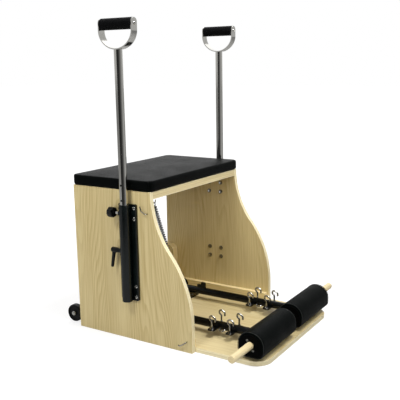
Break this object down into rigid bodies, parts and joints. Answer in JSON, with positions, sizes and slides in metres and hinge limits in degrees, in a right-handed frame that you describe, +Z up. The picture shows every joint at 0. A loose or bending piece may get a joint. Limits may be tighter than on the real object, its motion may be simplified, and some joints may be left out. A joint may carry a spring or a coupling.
{
  "type": "pilates chair",
  "caption": "Low padded exercise chair between curved wooden sides, with split hinged foot pedals, upright sliding D handles, spring hooks and rear transport wheels.",
  "frame": {"origin": "on the floor, in the middle of the object's plan", "axes": "+Z up, front with the pedals towards -Y, +X to the right when the front is faced"},
  "size_m": [0.89, 0.938, 1.231],
  "materials": {
    "laminate": "satin",
    "black_vinyl": "satin",
    "black_steel": "satin",
    "polished_steel": "polished",
    "bright_hardware": "polished",
    "spring_black": "satin",
    "foam_grip": "matt",
    "black_plastic": "matt",
    "bush_plastic": "matt",
    "black_rubber": "matt",
    "dowel_wood": "satin"
  },
  "bodies": {
    "chair": {"side_panel_left": "laminate", "side_panel_right": "laminate", "seat_board": "laminate", "seat_cushion": "black_vinyl", "base_board": "laminate", "base_cleat_left": "laminate", "base_cleat_right": "laminate", "rear_post_left": "laminate", "rear_post_right": "laminate", "lower_back_board": "laminate", "handle_sleeve_left": "black_steel", "handle_sleeve_right": "black_steel", "sleeve_bushes": "bush_plastic", "sleeve_bolts": "bright_hardware", "sleeve_nuts": "black_steel", "pedal_stops": "black_rubber", "pivot_bracket_left": "black_steel", "pivot_bracket_right": "black_steel", "pivot_bolts": "bright_hardware", "bracket_screws": "bright_hardware", "wheel_bracket_left": "black_steel", "wheel_bracket_right": "black_steel", "wheel_axles": "bright_hardware", "panel_hooks": "bright_hardware", "parked_spring": "spring_black", "spring_fittings": "bright_hardware"},
    "pedal_left": {"pedal_arm_left": "black_steel", "pedal_crossbars_left": "black_steel", "pedal_hooks_left": "bright_hardware", "pedal_pad_left": "black_vinyl", "pad_core_left": "dowel_wood", "pad_end_plates_left": "black_plastic", "pad_screws_left": "bright_hardware", "foot_dowel_left": "dowel_wood", "pivot_bushes_left": "bush_plastic"},
    "handle_left": {"pole_left": "polished_steel", "handle_strap_left": "polished_steel", "handle_grip_left": "foam_grip", "grip_screws_left": "bright_hardware"},
    "knob_left": {"star_knob_left": "black_plastic", "star_knob_stem_left": "bright_hardware"},
    "lever_left": {"clamp_lever_left": "black_plastic"},
    "transport_wheel_left": {"wheel_left": "black_rubber"},
    "pedal_right": {"pedal_arm_right": "black_steel", "pedal_crossbars_right": "black_steel", "pedal_hooks_right": "bright_hardware", "pedal_pad_right": "black_vinyl", "pad_core_right": "dowel_wood", "pad_end_plates_right": "black_plastic", "pad_screws_right": "bright_hardware", "foot_dowel_right": "dowel_wood", "pivot_bushes_right": "bush_plastic"},
    "handle_right": {"pole_right": "polished_steel", "handle_strap_right": "polished_steel", "handle_grip_right": "foam_grip", "grip_screws_right": "bright_hardware"},
    "knob_right": {"star_knob_right": "black_plastic", "star_knob_stem_right": "bright_hardware"},
    "lever_right": {"clamp_lever_right": "black_plastic"},
    "transport_wheel_right": {"wheel_right": "black_rubber"}
  },
  "joints": [
    {"name": "pedal_left_pivot", "type": "hinge", "parent": "chair", "child": "pedal_left", "pos_m": [-0.1555, 0.214, 0.058], "axis": [-1, 0, 0], "range_deg": [0, 45]},
    {"name": "handle_left_height", "type": "slide", "parent": "chair", "child": "handle_left", "axis": [0, 0, 1], "range_m": [-0.116, 0.058]},
    {"name": "knob_left_turn", "type": "hinge", "parent": "chair", "child": "knob_left", "pos_m": [-0.354, 0.147, 0.515], "axis": [0, 1, 0], "range_deg": [-180, 180]},
    {"name": "lever_left_swing", "type": "hinge", "parent": "chair", "child": "lever_left", "pos_m": [-0.354, 0.157, 0.367], "axis": [0, 1, 0], "range_deg": [0, 100]},
    {"name": "wheel_left_spin", "type": "hinge", "parent": "chair", "child": "transport_wheel_left", "pos_m": [-0.293, 0.4325, 0.0375], "axis": [1, 0, 0], "continuous": true},
    {"name": "pedal_right_pivot", "type": "hinge", "parent": "chair", "child": "pedal_right", "pos_m": [0.1555, 0.214, 0.058], "axis": [-1, 0, 0], "range_deg": [0, 45]},
    {"name": "handle_right_height", "type": "slide", "parent": "chair", "child": "handle_right", "axis": [0, 0, 1], "range_m": [-0.116, 0.058]},
    {"name": "knob_right_turn", "type": "hinge", "parent": "chair", "child": "knob_right", "pos_m": [0.354, 0.147, 0.515], "axis": [0, 1, 0], "range_deg": [-180, 180]},
    {"name": "lever_right_swing", "type": "hinge", "parent": "chair", "child": "lever_right", "pos_m": [0.354, 0.157, 0.367], "axis": [0, -1, 0], "range_deg": [0, 100]},
    {"name": "wheel_right_spin", "type": "hinge", "parent": "chair", "child": "transport_wheel_right", "pos_m": [0.293, 0.4325, 0.0375], "axis": [1, 0, 0], "continuous": true}
  ]
}
